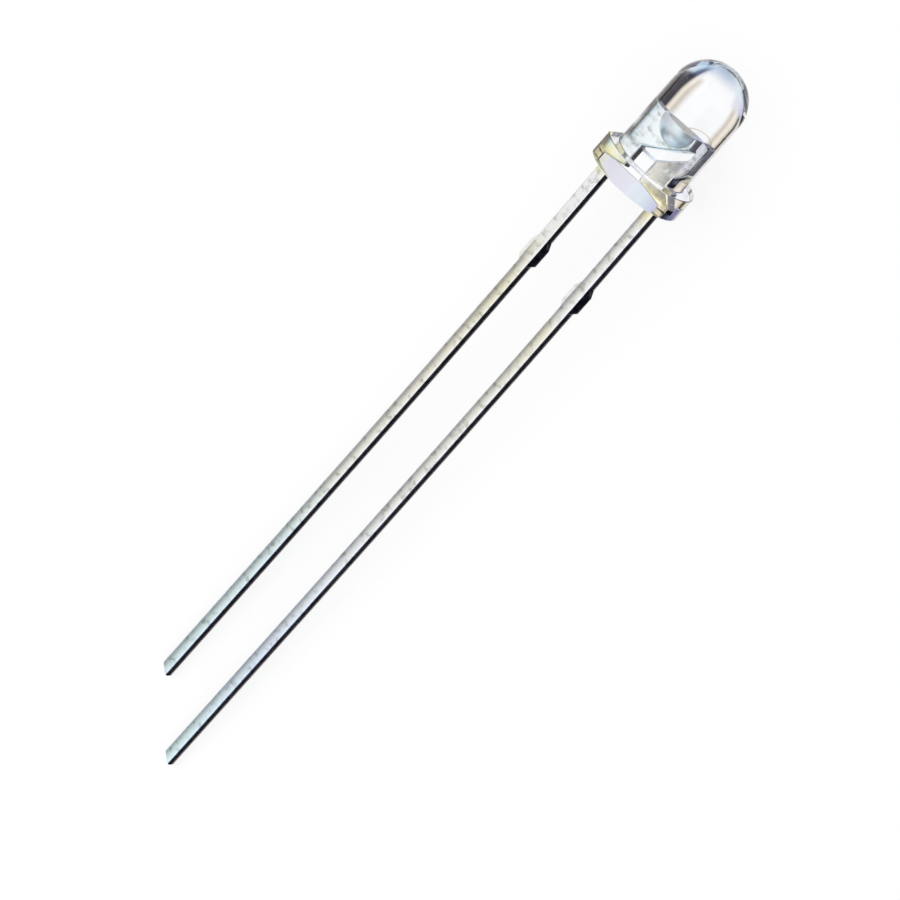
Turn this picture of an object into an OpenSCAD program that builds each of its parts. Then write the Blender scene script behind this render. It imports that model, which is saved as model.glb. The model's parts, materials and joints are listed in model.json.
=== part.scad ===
// Clear round light-emitting diode with two long leads, for through-hole boards.
// It is modelled upright about its own axis, dome up and seat at z = 0, and then laid on its side
// as it comes to rest on a table: on the flange's rim and both lead tips.

/* [Leads] */
// Distance between the leads' centres
lead_pitch = 2.54; // [2.4:0.02:2.7]
// Width of a lead, across the pair
lead_w = 0.5; // [0.4:0.05:0.6]
// Thickness of the sheet that the leads are stamped from
lead_t = 0.4; // [0.3:0.05:0.5]
// Length of the long lead below the seat
anode_len = 30.2; // [20:0.1:35]
// How much shorter the cathode's lead is
cathode_short = 2.4; // [1:0.1:4]
// How much longer a lead's right side is than its left, from the slanting cut
tip_slant = 0.3; // [0:0.05:0.4]

/* [Stand-offs] */
// From the seat down to the start of the sheared stubs
stub_drop = 4.1; // [3:0.1:6]
// Length of a stub along its lead
stub_len = 1.25; // [0.8:0.05:2]
// How far a stub stands out from each side of its lead
stub_out = 0.13; // [0.05:0.01:0.25]
// Length of the slope at a stub's upper end
stub_lead_in = 0.3; // [0.1:0.05:0.4]
// Length of the slope at a stub's lower end
stub_run_out = 0.15; // [0.05:0.05:0.3]
// How far the shears rolled a stub's front edge back
stub_roll = 0.1; // [0.05:0.01:0.15]

/* [Lens] */
// Diameter of the barrel and the dome
barrel_d = 3.1; // [3:0.05:3.3]
// Height from the seat to the top of the dome
body_h = 5.8; // [5.3:0.1:7]
// Diameter of the flange
flange_d = 4.1; // [3.9:0.05:4.4]
// Thickness of the flange
flange_t = 1; // [0.8:0.05:1.3]
// From the axis to the flat that marks the cathode
flat_x = 1.7; // [1.68:0.01:1.85]
// Radius of the flange's outer edges
flange_edge = 0.06; // [0.02:0.01:0.1]
// Radius of the hollow corner between barrel and flange
barrel_fillet = 0.1; // [0.04:0.01:0.12]

/* [Lead frame in the lens] */
// From the dome's centre down to the rim of the reflector cup
cup_drop = 1.2; // [1:0.05:1.5]
// Outer radius of the cup
cup_r = 0.6; // [0.55:0.01:0.62]
// Thickness of the cup's wall at the rim
cup_wall = 0.1; // [0.06:0.01:0.12]
// Depth of the cup
cup_depth = 0.32; // [0.25:0.01:0.38]
// Radius of the cup's floor
cup_floor_r = 0.26; // [0.22:0.01:0.3]
// Height of the straight band below the cup's rim
cup_band = 0.2; // [0.1:0.02:0.3]
// Height of the cone that carries the cup
cup_cone = 0.75; // [0.6:0.05:0.85]
// Least thickness of resin between the frame's outer edges and the barrel's wall
frame_cover = 0.2; // [0.15:0.01:0.3]
// Width of the gap between the two leads' inner shanks
frame_gap = 0.5; // [0.4:0.02:0.55]
// Height above the seat at which the leads start to widen inward
root_z = 0.2; // [0.1:0.05:0.3]
// Height over which they widen
root_rise = 0.25; // [0.2:0.05:0.4]
// How far below the flange's shoulder the leads' outer edges have come inward
turn_cover = 0.05; // [0:0.01:0.1]
// From the axis to the inner edge of the cathode's shank
shank_in = 0.42; // [0.35:0.01:0.5]
// Slope of the anvil's underside, as rise over run
anvil_slope = 1.05; // [0.9:0.05:1.2]
// Height of the anvil's straight right edge
anvil_edge = 0.5; // [0.4:0.05:0.6]
// Size of the bevels on the frame's outer corners
frame_bevel = 0.1; // [0.05:0.05:0.2]
// How far the anode's post reaches above the cup's rim
post_rise = 0.1; // [0:0.02:0.2]
// Gap between the anvil and the post's bonding head
head_gap = 0.16; // [0.12:0.01:0.2]
// Height of the bonding head
head_h = 0.45; // [0.3:0.05:0.6]
// How far the head stands out from its post
head_out = 0.08; // [0.04:0.01:0.12]
// Depth of the notch that the resin grips on the post's outer edge
notch_depth = 0.45; // [0.3:0.02:0.5]
// Height of the notch's floor
notch_h = 0.4; // [0.3:0.05:0.5]

/* [Chip and bond] */
// Side of the square chip
die_side = 0.28; // [0.22:0.01:0.3]
// Height of the chip
die_h = 0.12; // [0.1:0.01:0.14]
// Radius of the silver glue under the chip
glue_r = 0.22; // [0.2:0.01:0.22]
// Thickness of the silver glue
glue_t = 0.02; // [0.015:0.001:0.03]
// Diameter of the bond wire
wire_d = 0.03; // [0.025:0.001:0.04]
// Rise of the wire's loop above the line between its two ends
loop_h = 0.38; // [0.3:0.01:0.5]
// Radius of the wire's bonded ends
bond_r = 0.05; // [0.04:0.005:0.07]
// Height of the wire's bonded ends
bond_h = 0.02; // [0.015:0.001:0.03]

/* [Hidden] */
$fn = 96;
// How far a cutting block reaches past what it cuts
past = 1;

barrel_r = barrel_d / 2;
flange_r = flange_d / 2;
dome_z = body_h - barrel_r;
rim_z = dome_z - cup_drop;

// The leads' centres and edges
lead_x = lead_pitch / 2;
lead_inner = lead_x - lead_w / 2;
lead_outer = lead_x + lead_w / 2;
cathode_len = anode_len - cathode_short;

// The frame's outlines inside the lens
frame_x = barrel_r - frame_cover;
root_top = root_z + root_rise;
turn_top = flange_t - turn_cover;
anvil_right = cup_r + 0.04;
anvil_corner = rim_z - anvil_edge;
shank_top = anvil_corner - (anvil_right + shank_in) * anvil_slope;
post_top = rim_z + post_rise;
head_left = anvil_right + head_gap;
post_left = head_left + head_out;
post_shank = frame_gap - shank_in;
post_corner = shank_top + (post_left - post_shank) * anvil_slope;
post_bevel = min(frame_bevel, (frame_x - head_left) / 2);
notch_x = frame_x - notch_depth;
notch_top = turn_top + notch_h;

// The chip, from the cup's floor up
floor_z = rim_z - cup_depth;
die_z = floor_z + glue_t;
die_top = die_z + die_h;

// The bond wire's loop, an arc between the chip's bond and the one on the post
bond_x = (head_left + frame_x) / 2;
chord = sqrt(pow(bond_x, 2) + pow(post_top - die_top, 2));
loop_r = (pow(chord / 2, 2) + pow(loop_h, 2)) / (2 * loop_h);
chord_angle = atan2(post_top - die_top, bond_x);
loop_angle = 2 * asin(chord / 2 / loop_r);
loop_x = bond_x / 2 + (loop_r - loop_h) * sin(chord_angle);
loop_z = (die_top + post_top) / 2 - (loop_r - loop_h) * cos(chord_angle);

// How it lies: the tilt brings the tips down to the table, and the roll brings the shorter tip down too.
// A tip touches with its left or its right corner, whichever reaches lower.
length_step = cathode_short / lead_pitch;
reach = max(anode_len - tip_slant - lead_inner * length_step, anode_len - lead_outer * length_step);
lie_tilt = atan((flange_r - lead_t / 2) / (reach + flange_edge));
lie_roll = -asin(length_step * tan(lie_tilt));

// Lays an upright shape on its side, front up, with the seat's centre left at the origin
module lying() {
    rotate([lie_tilt - 90, 0, 0])
        rotate([0, 0, lie_roll])
            children();
}

// A stamped sheet shape, drawn in x and z, as thick as the leads
module stamped() {
    rotate([90, 0, 0])
        linear_extrude(lead_t, center = true)
            children();
}

// The stubs that the cut tie bar leaves on both sides of a lead, with their rolled front edges
module stubs() {
    top = -stub_drop;
    foot = top - stub_len;
    half = lead_w / 2;
    wide = half + stub_out;
    intersection() {
        stamped()
            polygon([
                [-half, top], [half, top],
                [wide, top - stub_lead_in], [wide, foot + stub_run_out],
                [half, foot], [-half, foot],
                [-wide, foot + stub_run_out], [-wide, top - stub_lead_in],
            ]);
        translate([0, 0, foot])
            linear_extrude(stub_len)
                polygon([
                    [-half, -lead_t / 2], [half, -lead_t / 2],
                    [wide, stub_roll - lead_t / 2], [wide, lead_t / 2],
                    [-wide, lead_t / 2], [-wide, stub_roll - lead_t / 2],
                ]);
    }
}

// The reflector cup, coined out of the anvil round the optical axis
module cup_body() {
    rotate_extrude()
        polygon([
            [0, rim_z], [cup_r, rim_z],
            [cup_r, rim_z - cup_band],
            [lead_t / 2, rim_z - cup_band - cup_cone],
            [0, rim_z - cup_band - cup_cone],
        ]);
}

module cup_hollow() {
    rotate_extrude()
        polygon([
            [0, floor_z], [cup_floor_r, floor_z],
            [cup_r - cup_wall, rim_z],
            [0, rim_z],
        ]);
}

// The short lead, with its stubs, the anvil and the reflector cup
module cathode_upright() {
    turn_start = turn_top - (lead_outer - frame_x);
    difference() {
        union() {
            stamped()
                polygon([
                    [-lead_outer, tip_slant - cathode_len], [-lead_inner, -cathode_len],
                    [-lead_inner, root_z], [-shank_in, root_top],
                    [-shank_in, shank_top], [anvil_right, anvil_corner],
                    [anvil_right, rim_z], [frame_bevel - frame_x, rim_z],
                    [-frame_x, rim_z - frame_bevel], [-frame_x, turn_top],
                    [-lead_outer, turn_start],
                ]);
            translate([-lead_x, 0, 0])
                stubs();
            cup_body();
        }
        cup_hollow();
    }
}

// The long lead, with its stubs and the post that the wire is bonded to
module anode_upright() {
    turn_start = turn_top - (lead_outer - notch_x);
    union() {
        stamped()
            polygon([
                [lead_inner, tip_slant - anode_len], [lead_outer, -anode_len],
                [lead_outer, turn_start], [notch_x, turn_top],
                [notch_x, notch_top], [frame_x, notch_top + notch_depth],
                [frame_x, post_top - post_bevel], [frame_x - post_bevel, post_top],
                [head_left, post_top], [head_left, post_top - head_h],
                [post_left, post_top - head_h - head_out], [post_left, post_corner],
                [post_shank, shank_top], [post_shank, root_top],
                [lead_inner, root_z],
            ]);
        translate([lead_x, 0, 0])
            stubs();
    }
}

module die_upright() {
    translate([0, 0, die_z + die_h / 2])
        cube([die_side, die_side, die_h], center = true);
}

module glue_upright() {
    translate([0, 0, floor_z])
        cylinder(r = glue_r, h = glue_t);
}

// The wire's loop with its two bonded ends, cut level with the chip and the post
module wire_upright() {
    difference() {
        translate([loop_x, 0, loop_z])
            rotate([90, 0, 0])
                rotate([0, 0, 90 + chord_angle - loop_angle / 2])
                    rotate_extrude(angle = loop_angle)
                        translate([loop_r, 0])
                            circle(d = wire_d);
        translate([-bond_x / 2, -past / 2, die_top - past])
            cube([bond_x, past, past]);
        translate([bond_x / 2, -past / 2, post_top - past])
            cube([bond_x, past, past]);
    }
    translate([0, 0, die_top])
        cylinder(r = bond_r, h = bond_h);
    translate([bond_x, 0, post_top])
        cylinder(r = bond_r, h = bond_h);
}

// A half section of the flange with its outer edges rounded
module flange_section() {
    square([flange_r - flange_edge, flange_t]);
    translate([0, flange_edge])
        square([flange_r, flange_t - 2 * flange_edge]);
    for (z = [flange_edge, flange_t - flange_edge])
        translate([flange_r - flange_edge, z])
            circle(r = flange_edge);
}

// A half section of the barrel, the dome and the hollow corner at the barrel's foot
module barrel_section() {
    square([barrel_r, dome_z]);
    intersection() {
        translate([0, dome_z])
            circle(r = barrel_r);
        square([barrel_r, body_h]);
    }
    translate([barrel_r, flange_t])
        difference() {
            square(barrel_fillet);
            translate([barrel_fillet, barrel_fillet])
                circle(r = barrel_fillet);
        }
}

// The moulded resin body, without the space that the frame fills
module body_upright() {
    difference() {
        rotate_extrude()
            union() {
                flange_section();
                barrel_section();
            }
        translate([-flat_x - flange_r, -flange_r, -past])
            cube([flange_r, flange_d, flange_t + 2 * past]);
    }
}

module lens() {
    color([0.86, 0.92, 0.96, 0.35])
        lying()
            difference() {
                body_upright();
                cathode_upright();
                anode_upright();
                die_upright();
                glue_upright();
                wire_upright();
            }
}

module cathode_lead() {
    color([0.78, 0.8, 0.8])
        lying()
            cathode_upright();
}

module anode_lead() {
    color([0.74, 0.76, 0.77])
        lying()
            anode_upright();
}

module led_die() {
    color([0.62, 0.66, 0.4])
        lying()
            die_upright();
}

module die_attach() {
    color([0.7, 0.7, 0.68])
        lying()
            glue_upright();
}

module bond_wire() {
    color([0.85, 0.66, 0.28])
        lying()
            wire_upright();
}

lens();
cathode_lead();
anode_lead();
led_die();
die_attach();
bond_wire();
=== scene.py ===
"""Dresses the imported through-hole LED: clear cast lens, plated lead frame, chip, glue and bond wire."""

import json
import math

import bmesh
import bpy
from mathutils import Matrix, Vector

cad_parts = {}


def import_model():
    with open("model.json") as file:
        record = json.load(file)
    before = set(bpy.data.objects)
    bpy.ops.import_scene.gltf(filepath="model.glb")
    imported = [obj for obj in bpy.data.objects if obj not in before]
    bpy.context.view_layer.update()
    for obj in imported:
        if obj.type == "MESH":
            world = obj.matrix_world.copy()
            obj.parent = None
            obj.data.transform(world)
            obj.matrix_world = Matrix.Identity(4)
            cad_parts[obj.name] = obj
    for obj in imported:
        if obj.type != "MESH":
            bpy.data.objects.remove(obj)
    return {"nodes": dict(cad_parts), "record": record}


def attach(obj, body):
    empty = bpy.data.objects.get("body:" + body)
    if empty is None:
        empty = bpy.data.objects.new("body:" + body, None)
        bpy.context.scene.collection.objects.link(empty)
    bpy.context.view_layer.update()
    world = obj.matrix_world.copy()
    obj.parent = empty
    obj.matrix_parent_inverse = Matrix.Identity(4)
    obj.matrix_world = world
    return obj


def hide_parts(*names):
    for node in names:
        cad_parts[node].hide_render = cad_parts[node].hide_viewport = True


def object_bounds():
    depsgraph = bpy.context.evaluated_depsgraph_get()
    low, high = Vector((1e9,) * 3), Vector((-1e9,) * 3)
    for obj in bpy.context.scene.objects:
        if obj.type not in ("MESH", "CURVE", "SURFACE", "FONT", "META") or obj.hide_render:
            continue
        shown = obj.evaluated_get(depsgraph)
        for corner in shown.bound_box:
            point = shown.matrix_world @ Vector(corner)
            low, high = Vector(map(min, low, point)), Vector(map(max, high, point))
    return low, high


MM = 0.001

# Sizes of the real thing, in millimetres
LEAD_PITCH = 2.54
LEAD_W = 0.5
LEAD_T = 0.4
ANODE_LEN = 30.2
CATHODE_SHORT = 2.4
TIP_SLANT = 0.3
STUB_DROP = 4.1
STUB_LEN = 1.25
STUB_OUT = 0.13
STUB_LEAD_IN = 0.3
STUB_RUN_OUT = 0.15
BODY_H = 5.8
BARREL_R = 1.55
FLANGE_R = 2.05
FLANGE_T = 1.0
FLAT_X = 1.7
FLANGE_EDGE = 0.03
BARREL_FILLET = 0.04
CUP_DROP = 1.2
CUP_R = 0.6
CUP_WALL = 0.1
CUP_DEPTH = 0.32
CUP_FLOOR_R = 0.26
CUP_BAND = 0.2
CUP_CONE = 0.75
CUP_ROUND = 0.03
FRAME_COVER = 0.2
FRAME_GAP = 0.5
ROOT_Z = 0.2
ROOT_RISE = 0.25
TURN_COVER = 0.05
SHANK_IN = 0.42
ANVIL_SLOPE = 1.05
ANVIL_EDGE = 0.5
ANVIL_PAST_CUP = 0.04
FRAME_BEVEL = 0.1
POST_RISE = 0.1
HEAD_GAP = 0.16
HEAD_H = 0.45
HEAD_OUT = 0.08
NOTCH_DEPTH = 0.45
NOTCH_H = 0.4
DIE_TOP = 2.87
WIRE_D = 0.03
LOOP_H = 0.38
BOND_R = 0.05
BOND_H = 0.02

# Each lead's front face, left unequal by the stamping: the depth of its crown and where it's foremost,
# from -1 at its left edge to 1 at its right, the heights between which the crown grows from flat, the
# radii of its two rolled edges, and how steeply the stand-off's two wings fall back
CATHODE_FACE = {
    "crown": 0.03,
    "apex": 0.45,
    "flat_to": -4.0,
    "full_from": -5.2,
    "rolls": (0.03, 0.09),
    "wings": (0.0, 0.73),
}
ANODE_FACE = {
    "crown": 0.028,
    "apex": 0.42,
    "flat_to": 1.0,
    "full_from": 0.0,
    "rolls": (0.03, 0.09),
    "wings": (0.0, 0.73),
}

# The edges of the frame in the lens: the punch rolls the front ones, the others are hardly broken
FRAME_ROLL = 0.08
FRAME_BREAK = 0.02

# The radius of the leads' back edges and of their tips'
LEAD_BREAK = 0.02

# How far handling has bowed the leads towards the long one's side, and a power of less than 1, which
# brings the bow's widest place above the lead's middle
LEAD_BOW = 0.075
BOW_SKEW = 0.8

# The height above the seat at which the leads go on as the frame
FRAME_FOOT = 0.1

# How far from a corner an added row of points keeps the smooth shading to the corner: on the leads,
# on the lens and the frame in it, and in the cup
LEAD_HOLD = 0.02
EDGE_HOLD = 0.01
CUP_HOLD = 0.005

# The stretch of a lead next to its stand-off and its tip that has rows of points of its own
STRETCH = 0.1

# The studio's colours, as light
WHITE = (1.0, 1.0, 1.0)
SOFT = (0.80, 0.82, 0.84)
GREY = (0.60, 0.60, 0.58)
DULL = (0.35, 0.355, 0.35)
PEACH = (0.95, 0.86, 0.75)
TAN = (0.62, 0.56, 0.48)
CREAM = (0.80, 0.77, 0.66)
BLACK = (0.012, 0.008, 0.006)
PLUM = (0.020, 0.013, 0.019)
NAVY = (0.012, 0.015, 0.034)
DIM = (0.28, 0.27, 0.30)
BROWN = (0.50, 0.44, 0.40)
SLATE = (0.09, 0.12, 0.22)
ICE = (0.50, 0.60, 0.78)
PALE_ICE = (0.78, 0.88, 0.93)
SKY = (0.45, 0.72, 0.88)
MIST = (0.80, 0.78, 0.87)
LILAC = (0.60, 0.59, 0.83)
VIOLET = (0.12, 0.11, 0.30)

# The studio that metal and resin see: rings round the LED's length, from the tips' side to the
# dome's side, each at its height along Y and with its colours by the turn in degrees from straight
# down, positive towards the long lead. A ring holds 32 colours at most.
BODY_RING = [
    (-180, WHITE), (-160, WHITE), (-153, SOFT), (-145, CREAM), (-137, GREY), (-127, DULL), (-119, DULL),
    (-113, MIST), (-90, MIST), (-84, PEACH), (-79, BLACK), (-74, BLACK), (-71, TAN), (-65, PEACH),
    (-60, PEACH), (-53, TAN), (-46, WHITE), (-2, WHITE), (5, TAN), (10, PEACH), (12, PEACH), (17, BLACK),
    (22, NAVY), (26, PLUM), (58, PLUM), (72, DIM), (100, DIM), (116, PLUM), (142, PLUM), (156, PALE_ICE),
    (165, WHITE), (180, WHITE),
]
STUDIO = [
    (-0.86, [
        (-180, PALE_ICE), (-45, PALE_ICE), (-18, ICE), (20, ICE), (45, SKY), (130, SKY), (160, PALE_ICE),
        (180, PALE_ICE),
    ]),
    (-0.56, [
        (-180, WHITE), (-150, WHITE), (-120, SOFT), (-90, LILAC), (-72, LILAC), (-60, MIST), (-48, MIST),
        (-40, WHITE), (8, WHITE), (13, MIST), (17, SLATE), (24, SLATE), (29, ICE), (40, PALE_ICE),
        (95, ICE), (130, PALE_ICE), (150, WHITE), (180, WHITE),
    ]),
    (-0.44, BODY_RING),
    (0.02, BODY_RING),
    (0.25, [
        (-180, MIST), (-110, MIST), (-78, VIOLET), (-62, LILAC), (-45, LILAC), (-30, PALE_ICE), (-10, MIST),
        (14, MIST), (18, CREAM), (28, CREAM), (36, BLACK), (75, BLACK), (110, MIST), (180, MIST),
    ]),
    (0.72, [(-180, MIST), (-60, LILAC), (0, PALE_ICE), (60, SLATE), (120, LILAC), (180, MIST)]),
    (0.86, [(-180, BROWN), (180, BROWN)]),
]

# The plating's tint along a lead, by the height above the seat in millimetres, with painted reflections:
# its tan and blue bands stand in for the studio's colours mirrored in the metal
CATHODE_TINTS_AND_REFLECTIONS = [
    (4, (0.92, 0.99, 1.00)), (1.3, (0.94, 1.00, 1.00)), (0.9, (1.00, 0.93, 0.50)),
    (0.2, (1.00, 0.93, 0.55)), (-0.5, (0.97, 0.97, 0.97)), (-4.5, (0.95, 0.95, 0.90)),
    (-6, (0.92, 0.90, 0.74)), (-8, (0.95, 0.92, 0.83)), (-12, (0.94, 0.93, 0.88)),
    (-16, (0.92, 0.93, 0.90)), (-20, (0.80, 0.92, 0.97)), (-27, (0.76, 0.92, 0.98)),
]
ANODE_TINTS_AND_REFLECTIONS = [
    (4, (0.92, 0.95, 0.98)), (1.3, (0.97, 0.96, 0.92)), (0.9, (1.00, 0.92, 0.56)),
    (0.2, (0.97, 0.92, 0.70)), (-0.5, (0.97, 0.97, 0.98)), (-5, (0.95, 0.96, 0.97)),
    (-6, (0.94, 0.92, 0.80)), (-10, (0.94, 0.94, 0.92)), (-15, (0.93, 0.93, 0.94)),
    (-20, (0.85, 0.91, 1.00)), (-24, (0.76, 0.85, 1.00)), (-29, (0.76, 0.94, 0.99)),
]

# The heights between which the tints and painted reflections are spread, and how far noise moves their
# bands, in millimetres
TINT_TOP = 5
TINT_FOOT = -29
TINT_WANDER = 1

# The plating's blotches, from their darkest spots to the clean plate between them
BLOTCHES = [
    (0.30, (0.64, 0.63, 0.62)), (0.38, (0.82, 0.84, 0.81)), (0.44, (0.94, 0.93, 0.94)),
    (0.50, (1.0, 1.0, 1.0)),
]

# The sheared faces of the stamping, painted near-black: painted shade and painted dark reflection on the
# leads' sides and tops and on the stand-off's wings and feet, from their darkest spots to their palest
PAINTED_SHADE = [(0.35, (0.04, 0.05, 0.10)), (0.65, (0.19, 0.20, 0.27))]

# The matte faces' colour, how matte they are, and how much painted shade a torn edge takes
MATTE = (0.86, 0.83, 0.90)
MATTE_SHARE = 0.8
TORN_SHADE_SHARE = 0.5

# The frame's right edges are torn from this height above the seat up, in millimetres
TORN_FROM = 1.8

# How squarely a face must look to one side, up, or to the right and up to count as a side, a top or the
# turn's slope, and how far to the right or down to count as a stand-off's wing or foot
SIDE_WAY = 0.75
TOP_WAY = 0.85
SLOPE_WAY = 0.6
WING_WAY = 0.55
FOOT_WAY = -0.35

# The resin's colour, and the light that its shadow lets through
RESIN = (0.985, 0.99, 1.0)
RESIN_SHADOW = (0.93, 0.95, 0.97)

# The small inner pieces: the two colours of their speckle, how metallic and how rough they are, and
# how fine the speckle is
COINED = {
    "low": (0.86, 0.96, 0.98), "high": (0.97, 1.0, 1.0), "metallic": 1.0, "rough": 0.3, "scale": 4000.0,
}
GOLD = {
    "low": (1.0, 0.84, 0.58), "high": (1.0, 0.92, 0.72), "metallic": 1.0, "rough": 0.1, "scale": 20000.0,
}
CHIP = {
    "low": (0.30, 0.32, 0.16), "high": (0.52, 0.54, 0.30), "metallic": 0.0, "rough": 0.25, "scale": 30000.0,
}
GLUE = {
    "low": (0.55, 0.55, 0.52), "high": (0.78, 0.78, 0.76), "metallic": 0.8, "rough": 0.35, "scale": 40000.0,
}

# The floor's paper, its reach in metres, and how much of its shading is left for the camera
PAPER = 0.98
FLOOR_REACH = 1.0
FLOOR_SHADING = 0.2

# The soft lamp above the LED's left: its strength, its width, and its two turns, in degrees
LAMP_STRENGTH = 0.35
LAMP_WIDTH = 50
LAMP_TURNS = (-20, -35)

# Worked out from the sizes
DOME_Z = BODY_H - BARREL_R
RIM_Z = DOME_Z - CUP_DROP
STUB_FOOT = -STUB_DROP - STUB_LEN
LEAD_X = LEAD_PITCH / 2
LEAD_INNER = LEAD_X - LEAD_W / 2
LEAD_OUTER = LEAD_X + LEAD_W / 2
CATHODE_LEN = ANODE_LEN - CATHODE_SHORT
FRAME_X = BARREL_R - FRAME_COVER
ROOT_TOP = ROOT_Z + ROOT_RISE
TURN_TOP = FLANGE_T - TURN_COVER
ANVIL_RIGHT = CUP_R + ANVIL_PAST_CUP
ANVIL_CORNER = RIM_Z - ANVIL_EDGE
SHANK_TOP = ANVIL_CORNER - (ANVIL_RIGHT + SHANK_IN) * ANVIL_SLOPE
POST_TOP = RIM_Z + POST_RISE
HEAD_LEFT = ANVIL_RIGHT + HEAD_GAP
POST_LEFT = HEAD_LEFT + HEAD_OUT
POST_SHANK = FRAME_GAP - SHANK_IN
POST_CORNER = SHANK_TOP + (POST_LEFT - POST_SHANK) * ANVIL_SLOPE
NOTCH_X = FRAME_X - NOTCH_DEPTH
NOTCH_TOP = TURN_TOP + NOTCH_H
BOND_X = (HEAD_LEFT + FRAME_X) / 2

# The sheet's own opening under the cup's hollow, hidden in the cup's wall
NECK_SIDE = 0.1
NECK_DROP = 0.05
NECK_MOUTH = CUP_R - CUP_WALL / 2
NECK_R = CUP_FLOOR_R + NECK_SIDE
NECK_TOP = RIM_Z - CUP_DEPTH - NECK_DROP

# The photograph's camera, seen from the LED: turned from the lead plane's front towards the dome
# and towards the long lead, then rolled. Its aim is off the seat's centre along its own right and up.
VIEW_DOME = math.radians(19.625)
VIEW_RIGHT = math.radians(20.567)
VIEW_ROLL = math.radians(41.529)
VIEW_DISTANCE = 200.0
VIEW_AIM = (-6.924, -9.998)
SENSOR = 36.0
PICTURE_WIDTH = 900
PIXELS_PER_MM = 26.679
FOCAL = PIXELS_PER_MM * VIEW_DISTANCE * SENSOR / PICTURE_WIDTH


def lying_matrix(frame):
    """The upright LED's turn to its rest: the barrel mount gives the tilt, the sizes give the roll."""
    axis = next(m["axis"] for m in frame["record"]["mounts"] if m["name"] == "lens_barrel")
    tilt = math.asin(axis[2] / math.hypot(*axis))
    roll = -math.asin(CATHODE_SHORT / LEAD_PITCH * math.tan(tilt))
    return Matrix.Rotation(tilt - math.pi / 2, 4, "X") @ Matrix.Rotation(roll, 4, "Z")


def new_object(name, bm, lying, smooth_angle=30.0):
    """Makes an object of an upright mesh in millimetres, laid down in the row frame."""
    bmesh.ops.recalc_face_normals(bm, faces=bm.faces)
    bm.transform(lying @ Matrix.Scale(MM, 4))
    mesh = bpy.data.meshes.new(name)
    bm.to_mesh(mesh)
    bm.free()
    for face in mesh.polygons:
        face.use_smooth = True
    mesh.set_sharp_from_angle(angle=math.radians(smooth_angle))
    obj = bpy.data.objects.new(name, mesh)
    bpy.context.scene.collection.objects.link(obj)
    return obj


def join(target, other):
    """Joins the other object's mesh into the target."""
    bm = bmesh.new()
    bm.from_mesh(target.data)
    bm.from_mesh(other.data)
    bm.to_mesh(target.data)
    bm.free()
    mesh = other.data
    bpy.data.objects.remove(other)
    bpy.data.meshes.remove(mesh)


def arc(cx, cz, radius, start, end, steps):
    """Points on an arc, with its angles in degrees from the x axis."""
    points = []
    for i in range(steps + 1):
        a = math.radians(start + (end - start) * i / steps)
        points.append((cx + radius * math.cos(a), cz + radius * math.sin(a)))
    return points


def supported(points, hold):
    """Adds a point near both ends of each long straight piece, to keep smooth shading at its corners."""
    held = [points[0]]
    for (ax, az), (bx, bz) in zip(points, points[1:]):
        length = math.hypot(bx - ax, bz - az)
        if length > 4 * hold:
            for t in (hold / length, 1 - hold / length):
                held.append((ax + (bx - ax) * t, az + (bz - az) * t))
        held.append((bx, bz))
    return held


def rounded(points, radius, steps=4):
    """Replaces each inner corner of an open outline by a short arc, along a third of its sides at most."""
    held = [points[0]]
    for before, corner, after in zip(points, points[1:], points[2:]):
        p, c, q = Vector(before), Vector(corner), Vector(after)
        reach = min(radius, (p - c).length / 3, (q - c).length / 3)
        a = c + (p - c).normalized() * reach
        b = c + (q - c).normalized() * reach
        for i in range(steps + 1):
            t = i / steps
            held.append(tuple((1 - t) ** 2 * a + 2 * t * (1 - t) * c + t**2 * b))
    held.append(points[-1])
    return held


def revolve(bm, profile, steps):
    """Revolves a profile of (radius, height) points about the z axis. Points on the axis stay single."""
    on_axis = 1e-6
    rings = []
    for r, z in profile:
        if r < on_axis:
            rings.append([bm.verts.new((0, 0, z))])
            continue
        turn = (2 * math.pi * i / steps for i in range(steps))
        rings.append([bm.verts.new((r * math.cos(a), r * math.sin(a), z)) for a in turn])
    for low, high in zip(rings, rings[1:]):
        for i in range(steps):
            j = (i + 1) % steps
            corners = [low[i % len(low)], low[j % len(low)], high[j % len(high)], high[i % len(high)]]
            bm.faces.new(list(dict.fromkeys(corners)))


def skin(bm, rings):
    """Lays faces between rings that follow each other, and closes the first and the last one."""
    for low, high in zip(rings, rings[1:]):
        for i in range(len(low)):
            j = (i + 1) % len(low)
            bm.faces.new((low[i], low[j], high[j], high[i]))
    bm.faces.new(rings[0])
    bm.faces.new(rings[-1])


def lens_profile():
    """The moulding's outline from the seat's centre to the dome's top."""
    edge = FLANGE_EDGE
    fillet = BARREL_FILLET
    edge_steps = 8
    dome_steps = 64
    points = [(0, 0)]
    points += arc(FLANGE_R - edge, edge, edge, -90, 0, edge_steps)
    points += arc(FLANGE_R - edge, FLANGE_T - edge, edge, 0, 90, edge_steps)
    points += arc(BARREL_R + fillet, FLANGE_T + fillet, fillet, 270, 180, edge_steps)
    points += arc(0, DOME_Z, BARREL_R, 0, 90, dome_steps)
    points[-1] = (0, BODY_H)
    return supported(points, EDGE_HOLD)


def make_lens(lying):
    """The clear moulding, with its flat cut and closed."""
    bm = bmesh.new()
    revolve(bm, lens_profile(), steps=256)
    cut = bmesh.ops.bisect_plane(
        bm,
        geom=bm.verts[:] + bm.edges[:] + bm.faces[:],
        plane_co=(-FLAT_X, 0, 0),
        plane_no=(-1, 0, 0),
        clear_outer=True,
    )
    rim = [e for e in cut["geom_cut"] if isinstance(e, bmesh.types.BMEdge)]
    bmesh.ops.contextual_create(bm, geom=rim)
    return new_object("lens_body", bm, lying, smooth_angle=40.0)


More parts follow.
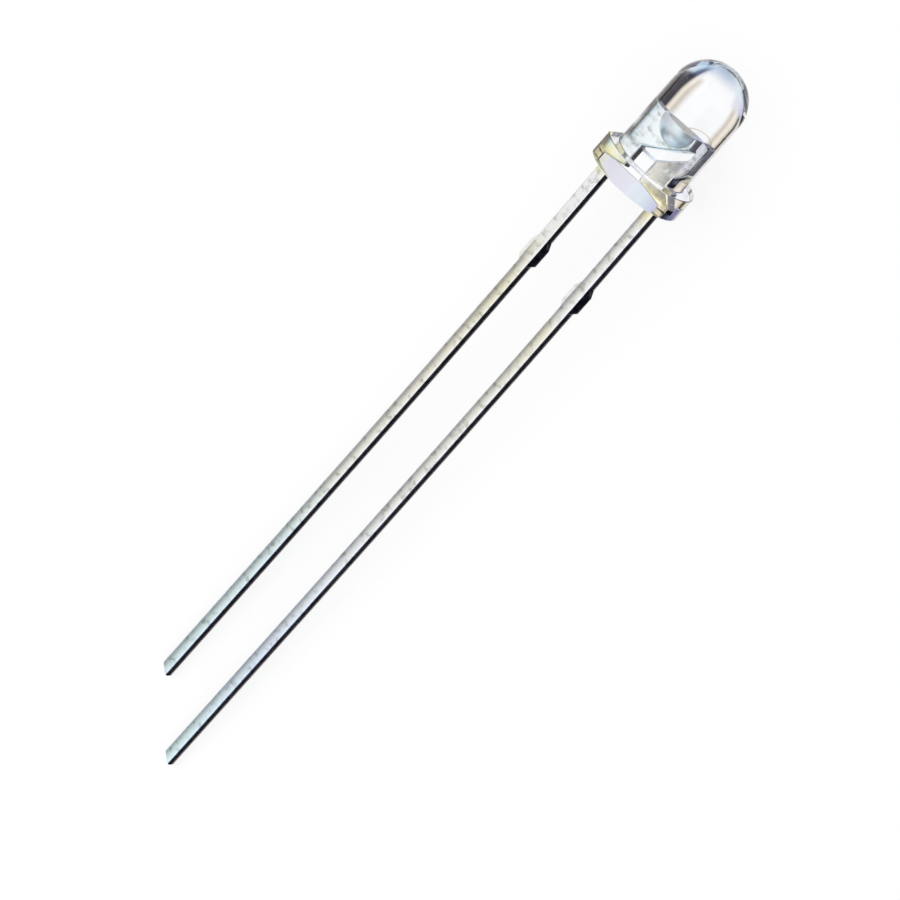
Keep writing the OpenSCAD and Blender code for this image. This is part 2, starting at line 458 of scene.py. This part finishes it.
def inset(outline, distance):
    """Moves a counterclockwise outline's edges inward, except those that end inside the cup's wall."""
    slack = 0.001
    moved = []
    count = len(outline)
    for i in range(count):
        ways = []
        for a, b in ((outline[i - 1], outline[i]), (outline[i], outline[(i + 1) % count])):
            dx, dz = b[0] - a[0], b[1] - a[1]
            length = math.hypot(dx, dz)
            in_cup = all(abs(x) < CUP_R and z > NECK_TOP - slack for x, z in (a, b))
            ways.append((-dz / length, dx / length, 0 if in_cup else distance))
        (ax, az, ad), (bx, bz, bd) = ways
        cross = ax * bz - az * bx
        x, z = outline[i]
        moved.append((x + (ad * bz - bd * az) / cross, z + (bd * ax - ad * bx) / cross))
    return moved


def plate(bm, outline):
    """The sheet's outline through its thickness, with rolled front edges and broken back ones."""
    front = -LEAD_T / 2
    steps = 6
    layers = [(front, FRAME_ROLL + EDGE_HOLD)]
    for i in range(steps + 1):
        a = math.radians(90 * i / steps)
        layers.append((front + FRAME_ROLL * (1 - math.cos(a)), FRAME_ROLL * (1 - math.sin(a))))
    layers += [(-front - FRAME_BREAK, 0), (-front, FRAME_BREAK)]
    rings = []
    for y, distance in layers:
        rings.append([bm.verts.new((x, y, z)) for x, z in inset(outline, distance)])
    skin(bm, rings)


def cathode_frame():
    """The short lead's outline in the lens, counterclockwise from its left root."""
    turn_start = TURN_TOP - (LEAD_OUTER - FRAME_X)
    return [
        (-LEAD_OUTER, FRAME_FOOT),
        (-LEAD_INNER, FRAME_FOOT),
        (-LEAD_INNER, ROOT_Z),
        (-SHANK_IN, ROOT_TOP),
        (-SHANK_IN, SHANK_TOP),
        (ANVIL_RIGHT, ANVIL_CORNER),
        (ANVIL_RIGHT, RIM_Z),
        (NECK_MOUTH, RIM_Z),
        (NECK_R, NECK_TOP),
        (-NECK_R, NECK_TOP),
        (-NECK_MOUTH, RIM_Z),
        (FRAME_BEVEL - FRAME_X, RIM_Z),
        (-FRAME_X, RIM_Z - FRAME_BEVEL),
        (-FRAME_X, TURN_TOP),
        (-LEAD_OUTER, turn_start),
    ]


def anode_frame():
    """The long lead's outline in the lens, counterclockwise from its left root."""
    turn_start = TURN_TOP - (LEAD_OUTER - NOTCH_X)
    return [
        (LEAD_INNER, FRAME_FOOT),
        (LEAD_OUTER, FRAME_FOOT),
        (LEAD_OUTER, turn_start),
        (NOTCH_X, TURN_TOP),
        (NOTCH_X, NOTCH_TOP),
        (FRAME_X, NOTCH_TOP + NOTCH_DEPTH),
        (FRAME_X, POST_TOP - FRAME_BEVEL),
        (FRAME_X - FRAME_BEVEL, POST_TOP),
        (HEAD_LEFT, POST_TOP),
        (HEAD_LEFT, POST_TOP - HEAD_H),
        (POST_LEFT, POST_TOP - HEAD_H - HEAD_OUT),
        (POST_LEFT, POST_CORNER),
        (POST_SHANK, SHANK_TOP),
        (POST_SHANK, ROOT_TOP),
        (LEAD_INNER, ROOT_Z),
    ]


def clamp(value, low, high):
    """The value, kept between the two limits."""
    return max(low, min(high, value))


def roll_depth(inside, roll, steepest):
    """How far a rolled edge falls back at a distance inside the lead's side. Past its steepest angle it
    goes on straight, at 45 degrees at most."""
    run = roll - inside
    turned = roll * math.sin(steepest)
    if run < 0:
        return 0
    if run < turned:
        return roll - math.sqrt(roll**2 - run**2)
    return roll * (1 - math.cos(steepest)) + (run - turned) * min(math.tan(steepest), 1)


def front_depth(x, z, half, face):
    """How far the front face at x from the lead's middle lies behind its foremost line."""
    grown = (face["flat_to"] - z) / (face["flat_to"] - face["full_from"])
    crown = face["crown"] * clamp(grown, 0, 1)
    depth = crown * (clamp(2 * x / LEAD_W, -1, 1) - face["apex"]) ** 2
    on_stub = half > LEAD_W / 2
    for side, roll, wing in zip((-1, 1), face["rolls"], face["wings"]):
        steepest = math.atan(wing) if on_stub else math.pi / 2
        depth += roll_depth(LEAD_W / 2 - side * x, roll, steepest)
    return min(depth, LEAD_T / 2)


def bowed(z, length):
    """How far the lead's middle at this height stands off its straight line."""
    return LEAD_BOW * math.sin(math.pi * max(0, -z / length) ** BOW_SKEW)


def lead_stations(length):
    """Heights down a lead, each with its half width: the stand-off is where it widens."""
    half = LEAD_W / 2
    top = -STUB_DROP
    foot = STUB_FOOT
    bottom = -length + TIP_SLANT + STRETCH
    slope_steps = 6
    lead_steps = 24
    stations = [(FRAME_FOOT, half), (top + STRETCH, half), (top + LEAD_HOLD, half)]
    for i in range(slope_steps + 1):
        stations.append((top - STUB_LEAD_IN * i / slope_steps, half + STUB_OUT * i / slope_steps))
    for i in range(slope_steps + 1):
        left = 1 - i / slope_steps
        stations.append((foot + STUB_RUN_OUT * left, half + STUB_OUT * left))
    stations.append((foot - LEAD_HOLD, half))
    stations += [(foot + (bottom - foot) * i / lead_steps, half) for i in range(1, lead_steps + 1)]
    return stations


def lead_section(z, half, face):
    """The lead's outline across at a height: its crowned and rolled front, then its broken back edges."""
    front_steps = 48
    break_steps = 3
    section = []
    for i in range(front_steps + 1):
        x = -half * math.cos(math.pi * i / front_steps)
        section.append((x, front_depth(x, z, half, face) - LEAD_T / 2))
    back = LEAD_T / 2 - LEAD_BREAK
    section += arc(half - LEAD_BREAK, back, LEAD_BREAK, 0, 90, break_steps)
    section += arc(LEAD_BREAK - half, back, LEAD_BREAK, 90, 180, break_steps)
    return section


def loft_lead(bm, middle, length, face):
    """The lead from its root in the lens to its slanting tip, whose own edges are broken too."""
    half = LEAD_W / 2
    rings = []
    for z, station_half in lead_stations(length):
        bow = bowed(z, length)
        section = lead_section(z, station_half, face)
        rings.append([bm.verts.new((middle + x + bow, y, z)) for x, y in section])
    for shrink in (0.0, LEAD_BREAK):
        scale = 1 - shrink / LEAD_W * 2
        ring = []
        for x, y in lead_section(-length, half, face):
            z = TIP_SLANT * (half - x) / LEAD_W - length + (LEAD_BREAK - shrink)
            ring.append(bm.verts.new((middle + x * scale, y * scale, z)))
        rings.append(ring)
    skin(bm, rings)


def mark_sheared(obj, lying):
    """Marks the faces that get painted shade (the punch's sheared sides and tops, and the stand-off's wings
    and feet), gives half of it to the matte torn ones, and marks the matte slope.
    """
    upright = lying.inverted()
    turn = upright.to_3x3()
    sheared = obj.data.attributes.new("sheared", "FLOAT", "FACE")
    matte = obj.data.attributes.new("matte", "FLOAT", "FACE")
    for face in obj.data.polygons:
        way = turn @ face.normal
        height = (upright @ face.center).z / MM
        # Painted shade goes on the sides, the tops and the stand-off's wings and feet, and half of it on
        # the torn edges
        at_foot = way.z < FOOT_WAY and STUB_FOOT - STRETCH < height
        at_wing = height < 0 and (way.x > WING_WAY or at_foot)
        if way.x > SLOPE_WAY and way.z > SLOPE_WAY:
            matte.data[face.index].value = MATTE_SHARE
        elif way.x > SIDE_WAY and height > TORN_FROM:
            sheared.data[face.index].value = TORN_SHADE_SHARE
            matte.data[face.index].value = MATTE_SHARE
        elif way.z > TOP_WAY or abs(way.x) > SIDE_WAY or at_wing:
            sheared.data[face.index].value = 1.0


def make_lead(name, frame_outline, middle, length, face, lying):
    """One stamped piece: the frame in the lens with rolled edges, and the lead below it."""
    bm = bmesh.new()
    plate(bm, frame_outline)
    obj = new_object(name, bm, lying)
    bm = bmesh.new()
    loft_lead(bm, middle, length, face)
    join(obj, new_object("lead", bm, lying, smooth_angle=35.0))
    mark_sheared(obj, lying)
    return obj


def cup_profile():
    """The reflector cup's half section: its bowl from the foot to the rim, then down to its floor."""
    band = RIM_Z - CUP_BAND / 2
    foot = RIM_Z - CUP_BAND - CUP_CONE
    floor = RIM_Z - CUP_DEPTH
    bowl_steps = 24
    bowl = []
    for i in range(bowl_steps + 1):
        a = math.radians(90 * i / bowl_steps)
        bowl.append((CUP_R * math.sin(a), band - (band - foot) * math.cos(a)))
    bowl[0] = (0, foot)
    hollow = [bowl[-1], (CUP_R, RIM_Z), (CUP_R - CUP_WALL, RIM_Z), (CUP_FLOOR_R, floor), (0, floor)]
    return supported(bowl[:-1] + rounded(hollow, CUP_ROUND), CUP_HOLD)


def make_cup(lying):
    """The reflector cup coined out of the anvil."""
    bm = bmesh.new()
    revolve(bm, cup_profile(), steps=128)
    return new_object("cathode_cup", bm, lying)


def add_bond(bm, x, z):
    """One of the wire's pressed ends, a flat button with a broken edge."""
    side_h = BOND_H * 0.5
    top_r = BOND_R * 0.8
    bond = bmesh.new()
    profile = [(0, 0), (BOND_R, 0), (BOND_R, side_h), (top_r, BOND_H), (0, BOND_H)]
    revolve(bond, profile, steps=32)
    bond.transform(Matrix.Translation((x, 0, z)))
    mesh = bpy.data.meshes.new("bond")
    bond.to_mesh(mesh)
    bond.free()
    bm.from_mesh(mesh)
    bpy.data.meshes.remove(mesh)


def make_wire(lying):
    """The bond wire's loop with its two bonds."""
    rise = POST_TOP - DIE_TOP
    chord = math.hypot(BOND_X, rise)
    radius = ((chord / 2) ** 2 + LOOP_H**2) / (2 * LOOP_H)
    lean = math.atan2(rise, BOND_X)
    half = math.asin(chord / 2 / radius)
    cx = BOND_X / 2 + (radius - LOOP_H) * math.sin(lean)
    cz = (DIE_TOP + POST_TOP) / 2 - (radius - LOOP_H) * math.cos(lean)
    side = Vector((0, 1, 0))
    bm = bmesh.new()
    steps, sides = 48, 16
    rings = []
    for i in range(steps + 1):
        a = math.pi / 2 + lean + half - 2 * half * i / steps
        out = Vector((math.cos(a), 0, math.sin(a)))
        centre = Vector((cx, 0, cz)) + radius * out
        ring = []
        for k in range(sides):
            b = 2 * math.pi * k / sides
            ring.append(bm.verts.new(centre + WIRE_D / 2 * (math.cos(b) * out + math.sin(b) * side)))
        rings.append(ring)
    skin(bm, rings)
    add_bond(bm, 0, DIE_TOP)
    add_bond(bm, BOND_X, POST_TOP)
    return new_object("wire_loop", bm, lying, smooth_angle=50.0)


class Nodes:
    """A short way to add nodes and links to one tree."""

    # Where a colour mix takes its factor and its two colours, and gives the mixed one
    FACTOR, FIRST, SECOND, MIXED = 0, 6, 7, 2

    def __init__(self, tree):
        self.tree = tree
        tree.nodes.clear()

    def add(self, kind, inputs=None, **settings):
        """Adds a node with its settings, and gives each input a value or a link."""
        node = self.tree.nodes.new(kind)
        for key, value in settings.items():
            setattr(node, key, value)
        for key, value in (inputs or {}).items():
            if isinstance(value, bpy.types.NodeSocket):
                self.tree.links.new(value, node.inputs[key])
            else:
                node.inputs[key].default_value = value
        return node

    def noise(self, place, **inputs):
        """A noise at a place, with its inputs named in lower case."""
        named = {key.title(): value for key, value in inputs.items()}
        return self.add("ShaderNodeTexNoise", {"Vector": place, **named}).outputs["Fac"]

    def math(self, operation, *values):
        """One step of arithmetic on values or sockets."""
        return self.add("ShaderNodeMath", dict(enumerate(values)), operation=operation).outputs["Value"]

    def spread(self, value, low, high):
        """A value from 0 to 1, spread from low to high."""
        ends = {"Value": value, "To Min": low, "To Max": high}
        return self.add("ShaderNodeMapRange", ends).outputs["Result"]

    def place_in(self, value, start, end, **settings):
        """Where a value lies from start to end, as 0 to 1."""
        ends = {"Value": value, "From Min": start, "From Max": end}
        return self.add("ShaderNodeMapRange", ends, **settings).outputs["Result"]

    def ramp(self, value, stops):
        """A colour by a value, from stops that each have a place from 0 to 1 and a colour."""
        node = self.add("ShaderNodeValToRGB", {"Fac": value})
        stops = sorted(stops)
        while len(node.color_ramp.elements) < len(stops):
            node.color_ramp.elements.new(0.5)
        for element, (at, colour) in zip(node.color_ramp.elements, stops):
            element.position = at
            element.color = (*colour, 1)
        return node.outputs["Color"]

    def mix(self, factor, first, second, blend="MIX"):
        """One colour mixed over another."""
        ends = {self.FACTOR: factor, self.FIRST: first, self.SECOND: second}
        node = self.add("ShaderNodeMix", ends, data_type="RGBA", blend_type=blend)
        return node.outputs[self.MIXED]

    def choose(self, factor, first, second):
        """One shader mixed over another."""
        return self.add("ShaderNodeMixShader", {0: factor, 1: first, 2: second}).outputs["Shader"]


def new_material(name):
    """A material with an empty tree, and the means to fill it."""
    material = bpy.data.materials.new(name)
    material.use_nodes = True
    return material, Nodes(material.node_tree)


def opaque(colour):
    """A colour as a socket takes it."""
    return (*colour, 1)


def grey(value):
    """A grey as a socket takes it."""
    return opaque((value, value, value))


def resin_material():
    """Clear cast epoxy: sharp, with the mould's faint waves."""
    material, n = new_material("clear_resin")
    place = n.add("ShaderNodeTexCoord").outputs["Object"]
    waves = n.noise(place, scale=900.0, detail=2.0)
    bump = n.add("ShaderNodeBump", {"Height": waves, "Strength": 0.15, "Distance": 0.00002})
    surface = n.add(
        "ShaderNodeBsdfPrincipled",
        {
            "Base Color": opaque(RESIN),
            "Roughness": n.spread(waves, 0.0, 0.02),
            "IOR": 1.53,
            "Transmission Weight": 1.0,
            "Normal": bump.outputs["Normal"],
        },
    )
    lets_light = n.add("ShaderNodeBsdfTransparent", {"Color": opaque(RESIN_SHADOW)})
    in_shadow = n.add("ShaderNodeLightPath").outputs["Is Shadow Ray"]
    seen = n.choose(in_shadow, surface.outputs["BSDF"], lets_light.outputs["BSDF"])
    n.add("ShaderNodeOutputMaterial", {"Surface": seen})
    return material


def plated_colour(n, place, tints_and_reflections):
    """The plating's colour, and how matte it is: a tint with painted reflections that drifts along the
    lead, blotches, matte faces, and painted shade on the sheared faces."""
    along = n.add("ShaderNodeSeparateXYZ", {"Vector": place}).outputs["Y"]
    drift = n.noise(place, scale=1200.0, detail=3.0)
    wandering = n.math("MULTIPLY_ADD", drift, TINT_WANDER * MM, along)
    # The tint and painted reflections, by height along the lead
    down = n.place_in(wandering, TINT_TOP * MM, TINT_FOOT * MM)
    tint_and_reflection = n.ramp(down, [((TINT_TOP - at) / (TINT_TOP - TINT_FOOT), colour) for at, colour in tints_and_reflections])
    blotches = n.noise(place, scale=3600.0, detail=2.0)
    mottled = n.mix(1.0, tint_and_reflection, n.ramp(blotches, BLOTCHES), blend="MULTIPLY")
    matte = n.add("ShaderNodeAttribute", attribute_name="matte").outputs["Fac"]
    frosted = n.mix(matte, mottled, opaque(MATTE))
    sheared = n.add("ShaderNodeAttribute", attribute_name="sheared").outputs["Fac"]
    # Painted shade: the marked faces turn near-black, as if in shade and reflecting dark surroundings
    return n.mix(sheared, frosted, n.ramp(blotches, PAINTED_SHADE)), matte


def plated_material(name, tints_and_reflections):
    """Tin plate on stamped steel, with a fine grain."""
    material, n = new_material(name)
    place = n.add("ShaderNodeTexCoord").outputs["Object"]
    colour, matte = plated_colour(n, place, tints_and_reflections)
    grain = n.noise(place, scale=9000.0, detail=4.0, roughness=0.7)
    bump = n.add("ShaderNodeBump", {"Height": grain, "Strength": 0.3, "Distance": 0.000004})
    surface = n.add(
        "ShaderNodeBsdfPrincipled",
        {
            "Base Color": colour,
            "Metallic": n.math("SUBTRACT", 1.0, matte),
            "Roughness": n.spread(grain, 0.08, 0.24),
            "Normal": bump.outputs["Normal"],
        },
    )
    n.add("ShaderNodeOutputMaterial", {"Surface": surface.outputs["BSDF"]})
    return material


def speckled_material(name, low, high, metallic, rough, scale):
    """A small inner piece: two close colours in a fine speckle."""
    material, n = new_material(name)
    place = n.add("ShaderNodeTexCoord").outputs["Object"]
    speckle = n.noise(place, scale=scale, detail=3.0)
    surface = n.add(
        "ShaderNodeBsdfPrincipled",
        {
            "Base Color": n.ramp(speckle, [(0.4, low), (0.6, high)]),
            "Metallic": metallic,
            "Roughness": n.spread(speckle, rough, rough + 0.15),
        },
    )
    n.add("ShaderNodeOutputMaterial", {"Surface": surface.outputs["BSDF"]})
    return material


def dress(obj, material):
    """Gives the whole object one material."""
    obj.data.materials.clear()
    obj.data.materials.append(material)
    for face in obj.data.polygons:
        face.material_index = 0


def make_floor(z):
    """A wide pale floor at this height, under the LED's lowest point."""
    reach = FLOOR_REACH
    mesh = bpy.data.meshes.new("floor")
    corners = [(-reach, -reach, z), (reach, -reach, z), (reach, reach, z), (-reach, reach, z)]
    mesh.from_pydata(corners, [], [(0, 1, 2, 3)])
    obj = bpy.data.objects.new("floor", mesh)
    bpy.context.scene.collection.objects.link(obj)
    material, n = new_material("floor_paper")
    paper = n.add("ShaderNodeBsdfDiffuse", {"Color": grey(PAPER)})
    glow = n.add("ShaderNodeEmission", {"Color": grey(1.0)})
    for_camera = n.add("ShaderNodeLightPath").outputs["Is Camera Ray"]
    lifted = n.math("MULTIPLY", for_camera, 1 - FLOOR_SHADING)
    seen = n.choose(lifted, paper.outputs["BSDF"], glow.outputs["Emission"])
    n.add("ShaderNodeOutputMaterial", {"Surface": seen})
    mesh.materials.append(material)
    obj.visible_glossy = False
    obj.visible_transmission = False


def studio_ring(n, place, stops):
    """One ring of the studio round the LED, its colours by the turn in degrees from straight down."""
    return n.ramp(place, [((turn + 180) / 360, colour) for turn, colour in stops])


def make_world():
    """A white studio with black and coloured cards low round the LED, as metal and resin see it."""
    world = bpy.data.worlds.new("studio")
    bpy.context.scene.world = world
    world.use_nodes = True
    n = Nodes(world.node_tree)
    way = n.add("ShaderNodeTexCoord").outputs["Generated"]
    split = n.add("ShaderNodeSeparateXYZ", {"Vector": way})
    down = n.math("MULTIPLY", split.outputs["Z"], -1.0)
    turn = n.math("ARCTAN2", split.outputs["X"], down)
    place = n.place_in(turn, -math.pi, math.pi)
    (height, stops), *others = STUDIO
    seen = studio_ring(n, place, stops)
    for next_height, next_stops in others:
        climb = n.place_in(split.outputs["Y"], height, next_height, interpolation_type="SMOOTHSTEP")
        seen = n.mix(climb, seen, studio_ring(n, place, next_stops))
        height = next_height
    path = n.add("ShaderNodeLightPath")
    shiny = n.math("MAXIMUM", path.outputs["Is Glossy Ray"], path.outputs["Is Transmission Ray"])
    colour = n.mix(shiny, grey(1.0), seen)
    background = n.add("ShaderNodeBackground", {"Color": colour, "Strength": 1.0})
    n.add("ShaderNodeOutputWorld", {"Surface": background.outputs["Background"]})


def make_camera(lying):
    """The photograph's camera, placed by its angles about the LED."""
    towards = Vector(
        (
            math.sin(VIEW_RIGHT) * math.cos(VIEW_DOME),
            -math.cos(VIEW_RIGHT) * math.cos(VIEW_DOME),
            math.sin(VIEW_DOME),
        )
    )
    level = Vector((0, 0, 1)).cross(towards).normalized()
    over = towards.cross(level)
    right = math.cos(VIEW_ROLL) * level + math.sin(VIEW_ROLL) * over
    up = -math.sin(VIEW_ROLL) * level + math.cos(VIEW_ROLL) * over
    place = VIEW_AIM[0] * right + VIEW_AIM[1] * up + VIEW_DISTANCE * towards
    turn = Matrix((right, up, towards)).transposed().to_4x4()
    data = bpy.data.cameras.new("camera")
    data.sensor_width = SENSOR
    data.lens = FOCAL
    data.clip_start = 0.01
    data.clip_end = 10.0
    camera = bpy.data.objects.new("camera", data)
    camera.matrix_world = lying @ Matrix.Translation(place * MM) @ turn
    bpy.context.scene.collection.objects.link(camera)
    bpy.context.scene.camera = camera


def make_lamp():
    """A soft lamp above the LED's left."""
    data = bpy.data.lights.new("key", "SUN")
    data.energy = LAMP_STRENGTH
    data.angle = math.radians(LAMP_WIDTH)
    lamp = bpy.data.objects.new("key", data)
    lamp.rotation_euler = (math.radians(LAMP_TURNS[0]), math.radians(LAMP_TURNS[1]), 0)
    bpy.context.scene.collection.objects.link(lamp)


def main():
    """Makes the pieces round the frame, dresses them, and sets the stage."""
    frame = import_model()
    cad_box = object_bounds()
    lying = lying_matrix(frame)

    lens = make_lens(lying)
    dress(lens, resin_material())
    cathode = make_lead("cathode_frame", cathode_frame(), -LEAD_X, CATHODE_LEN, CATHODE_FACE, lying)
    dress(cathode, plated_material("cathode_plating", CATHODE_TINTS_AND_REFLECTIONS))
    anode = make_lead("anode_frame", anode_frame(), LEAD_X, ANODE_LEN, ANODE_FACE, lying)
    dress(anode, plated_material("anode_plating", ANODE_TINTS_AND_REFLECTIONS))
    cup = make_cup(lying)
    dress(cup, speckled_material("coined_plating", **COINED))
    wire = make_wire(lying)
    dress(wire, speckled_material("gold", **GOLD))
    for piece, node in (
        (lens, "lens"),
        (cathode, "cathode_lead"),
        (cup, "cathode_lead"),
        (anode, "anode_lead"),
        (wire, "bond_wire"),
    ):
        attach(piece, "root")
        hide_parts(node)
    dress(frame["nodes"]["led_die"], speckled_material("chip_crystal", **CHIP))
    dress(frame["nodes"]["die_attach"], speckled_material("silver_glue", **GLUE))

    lowest = cad_box[0][2]
    make_floor(lowest)
    make_world()
    make_lamp()
    make_camera(lying)
    bpy.context.scene.view_settings.view_transform = "Standard"


main()
